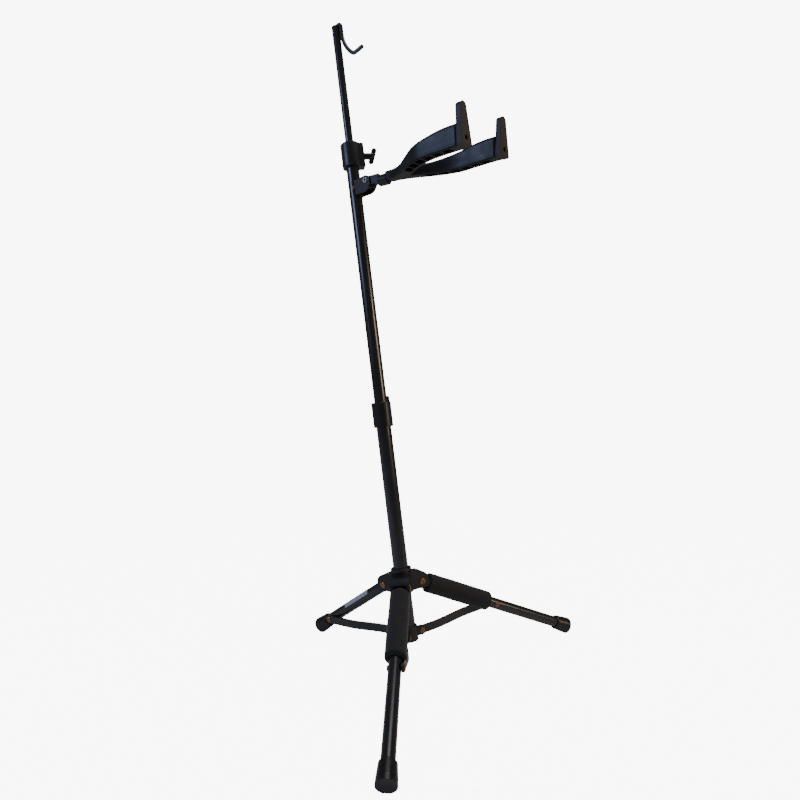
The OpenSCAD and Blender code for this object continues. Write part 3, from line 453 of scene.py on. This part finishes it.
def worn_coat():
    """Satin coat over pressed steel, which shines through along its edges in patches 3 mm long."""
    material, place = new_material("edge_worn_powder_coat")
    cloud = add(material, "ShaderNodeTexNoise", {"Scale": 300.0, "Detail": 4.0, "Roughness": 0.65},
                {"Vector": place})
    tone = add(material, "ShaderNodeValToRGB", {"stops": [(0.3, "#0A0A0C"), (0.7, "#131416")]},
               {"Fac": cloud.outputs["Fac"]}).outputs["Color"]
    edge = add(material, "ShaderNodeBevel", {"samples": 6, "Radius": 0.7 * MM})
    flat = add(material, "ShaderNodeNewGeometry")
    match = add(material, "ShaderNodeVectorMath", {"operation": "DOT_PRODUCT"},
                {0: edge.outputs["Normal"], 1: flat.outputs["Normal"]})
    corner = add(material, "ShaderNodeMapRange",
                 {"From Min": 0.86, "From Max": 0.97, "To Min": 1.0, "To Max": 0.0},
                 {"Value": match.outputs["Value"]}).outputs["Result"]
    patch = add(material, "ShaderNodeMapRange",
                {"From Min": 0.42, "From Max": 0.6, "To Min": 0.0, "To Max": 1.0},
                {"Value": cloud.outputs["Fac"]}).outputs["Result"]
    bare = add(material, "ShaderNodeMath", {"operation": "MULTIPLY"}, {0: corner, 1: patch})
    steel = add(material, "ShaderNodeMix", {"data_type": "RGBA", MIX_B: colour("#8F8D88")},
                {"Factor": bare.outputs["Value"], MIX_A: tone})
    rough = add(material, "ShaderNodeMapRange",
                {"From Min": 0.3, "From Max": 0.7, "To Min": 0.34, "To Max": 0.46},
                {"Value": cloud.outputs["Fac"]}).outputs["Result"]
    bump = add(material, "ShaderNodeBump", {"Strength": 0.25, "Distance": 0.05 * MM},
               {"Height": cloud.outputs["Fac"], "Normal": edge.outputs["Normal"]})
    surface = add(material, "ShaderNodeBsdfPrincipled", {"Coat Weight": 0.2, "Coat Roughness": 0.25},
                  {"Base Color": steel.outputs[MIX_RESULT], "Roughness": rough,
                   "Metallic": bare.outputs["Value"], "Normal": bump.outputs["Normal"]})
    add(material, "ShaderNodeOutputMaterial", links={"Surface": surface.outputs["BSDF"]})
    return material


dress(worn_coat(), "yoke_bracket", "yoke_knuckle")

# ---- Yoke frame: moulded nylon ----
# The stiff core of both arms in one piece, with ribs across its hollow underside and a shank that turns in
# the knuckle's collar.
rib_nylon = moulded("ribbed_nylon", "#141314", "#1E1C1C", 0.5, 1.2, 0.3, 0.5)
dress(rib_nylon, "yoke_frame")

# ---- Arm covers: one skin of soft rubber for each arm, moulded smooth and stretched over the frame ----
# The top edges are round, and a thin bead runs along the lower rim. The blue in the skin's sheen and colour
# is a painted reflection of the cool light from the left.

yoke_roll = math.radians(5.3)
collar_half = 11.5 * MM
arm_from = 46.5 * MM
arm_split = 92 * MM
arm_straight = 158 * MM
arm_end = 225.5 * MM
arm_middle = 49.3 * MM
arm_half = 12 * MM
arm_drop = 8 * MM
root_height = 15 * MM
end_height = 31 * MM
bottom_rise = 5 * MM
plain_root = 5 * MM
blend = 14 * MM
skin_round = 6 * MM
skin_wall = 2.2 * MM
bead = 0.7 * MM


def ease(t):
    """A smooth step from 0 to 1."""
    t = max(0.0, min(1.0, t))
    return t * t * (3 - 2 * t)


def yoke_place():
    """The yoke's own frame at its pivot: X to the right, Y back to the pole, Z up."""
    forward = Vector(joints["yoke_roll"]["axis"]).normalized()
    right = -Vector(joints["yoke_fold"]["axis"]).normalized()
    turn = Matrix((right, -forward, forward.cross(right))).transposed().to_4x4()
    return (Matrix.Translation(joints["yoke_fold"]["pos_m"]) @ turn
            @ Matrix.Rotation(-yoke_roll, 4, "Y"))


def arm_section(reach):
    """Inner side, outer side, underside and top of an arm at a distance from the pivot."""
    outer = collar_half + (arm_middle + arm_half - collar_half) * ease(
        (reach - arm_from - plain_root) / (arm_straight - arm_from - plain_root))
    opening = ease((reach - arm_split) / (arm_straight + blend - arm_split))
    inner = (arm_middle - arm_half) * math.sqrt(opening)
    low = -arm_drop + bottom_rise * ease((reach - arm_split) / (arm_end - arm_split))
    high = (low + root_height + (end_height - root_height)
            * ease((reach - arm_split + blend) / (arm_end - arm_split)))
    return inner, outer, low, high


def skin_line(reach):
    """The skin's outline across the arm, from its inner rim over the top to its outer rim."""
    inner, outer, low, high = arm_section(reach)
    inner_round = min(skin_round, inner * 0.8)
    outer_round = min(skin_round, (high - low) * 0.4)
    turns = [math.radians(a) for a in range(0, 91, 15)]
    rise = [0.0, 0.06, 0.12, 0.4, 0.7]
    line = []
    for t in rise:
        flare = bead if t == 0.06 and inner > 2 * MM else 0
        line.append((inner - flare, low + (high - inner_round - low) * t))
    line += [(inner + inner_round * (1 - math.cos(a)), high - inner_round * (1 - math.sin(a))) for a in turns]
    middle_from, middle_to = inner + inner_round, outer - outer_round
    crown = 0.8 * MM if inner > 0 else 0
    line += [(middle_from + (middle_to - middle_from) * t, high + crown * math.sin(math.pi * t))
             for t in (0.25, 0.5, 0.75)]
    line += [(outer - outer_round * (1 - math.sin(a)), high - outer_round * (1 - math.cos(a))) for a in turns]
    for t in reversed(rise):
        flare = bead if t == 0.06 else 0
        line.append((outer + flare, low + (high - outer_round - low) * t))
    return line


def soft_rubber():
    """Thermoplastic rubber: satin, with a blue reflection painted into its colour and sheen, clouded every 24
    mm and finely grained.
    """
    material, place = new_material("thermoplastic_rubber")
    slow = add(material, "ShaderNodeTexNoise", {"Scale": 42.0, "Detail": 5.0, "Roughness": 0.6},
               {"Vector": place})
    # The faint blue of this tone is painted: it stands for the reflection of the cool light from the left.
    tone = add(material, "ShaderNodeValToRGB", {"stops": [(0.3, "#090A0D"), (0.7, "#0F1117")]},
               {"Fac": slow.outputs["Fac"]}).outputs["Color"]
    rough = add(material, "ShaderNodeMapRange",
                {"From Min": 0.3, "From Max": 0.7, "To Min": 0.36, "To Max": 0.5},
                {"Value": slow.outputs["Fac"]}).outputs["Result"]
    fine = add(material, "ShaderNodeTexNoise", {"Scale": 1000 / 0.8, "Detail": 2.0}, {"Vector": place})
    bump = add(material, "ShaderNodeBump", {"Strength": 0.12, "Distance": 0.05 * MM},
               {"Height": fine.outputs["Fac"]})
    # The blue sheen tint is a painted reflection of the cool light from the left.
    surface = add(material, "ShaderNodeBsdfPrincipled",
                  {"Sheen Weight": 0.12, "Sheen Roughness": 0.35, "Sheen Tint": colour("#9DB4E8"),
                   "Specular IOR Level": 0.5},
                  {"Base Color": tone, "Roughness": rough, "Normal": bump.outputs["Normal"]})
    add(material, "ShaderNodeOutputMaterial", links={"Surface": surface.outputs["BSDF"]})
    return material


cover_rubber = soft_rubber()
yoke_at = yoke_place()


def arm_cover(name, side, node_name):
    """One skin: its outline carried along the arm edge by edge, with a wall of even thickness."""
    bm = bmesh.new()
    steps = 44
    reaches = [arm_from + (arm_end - 0.3 * MM - arm_from) * i / steps for i in range(steps + 1)]
    line = [bm.verts.new((side * x, -reaches[0], z)) for x, z in skin_line(reaches[0])]
    edges = [bm.edges.new(pair) for pair in zip(line, line[1:])]
    for reach in reaches[1:]:
        grown = bmesh.ops.extrude_edge_only(bm, edges=edges)["geom"]
        fresh = [item for item in grown if isinstance(item, bmesh.types.BMVert)]
        edges = [item for item in grown if isinstance(item, bmesh.types.BMEdge) and len(item.link_faces) == 1
                 and all(v in fresh for v in item.verts)]
        follow = {}
        for vert in fresh:
            for edge in vert.link_edges:
                other = edge.other_vert(vert)
                if other in line:
                    follow[line.index(other)] = vert
        line = [follow[i] for i in range(len(line))]
        for vert, (x, z) in zip(line, skin_line(reach)):
            vert.co = (side * x, -reach, z)
    bmesh.ops.transform(bm, matrix=yoke_at, verts=bm.verts)
    bmesh.ops.recalc_face_normals(bm, faces=bm.faces)
    top = max(bm.faces, key=lambda f: f.calc_center_median().z)
    if top.normal.z < 0:
        bmesh.ops.reverse_faces(bm, faces=bm.faces)
    piece = finish_piece(name, bm, "yoke", "soft_cover", cover_rubber, node_name)
    wall = piece.modifiers.new("wall", "SOLIDIFY")
    wall.thickness = skin_wall
    wall.offset = -1


arm_cover("arm_skin_left", -1, "arm_cover_left")
arm_cover("arm_skin_right", 1, "arm_cover_right")

# ---- End lips: solid moulded rubber ----
# They stop the instrument's neck at the ends of the arms. The rubber has gone brown-grey with age, and one
# sunk screw of blackened steel holds each lip.
lip_rubber = moulded("aged_moulded_rubber", "#241F1B", "#342D27", 0.55, 1.0, 0.35, 1.6)
dress(lip_rubber, "lip_left", "lip_right")
dark_screw = bare_metal("blackened_steel", "#0C0C0D", "#1A1A1B", 0.4, 0.5)
dress(dark_screw, "lip_screws")

bpy.context.view_layer.update()
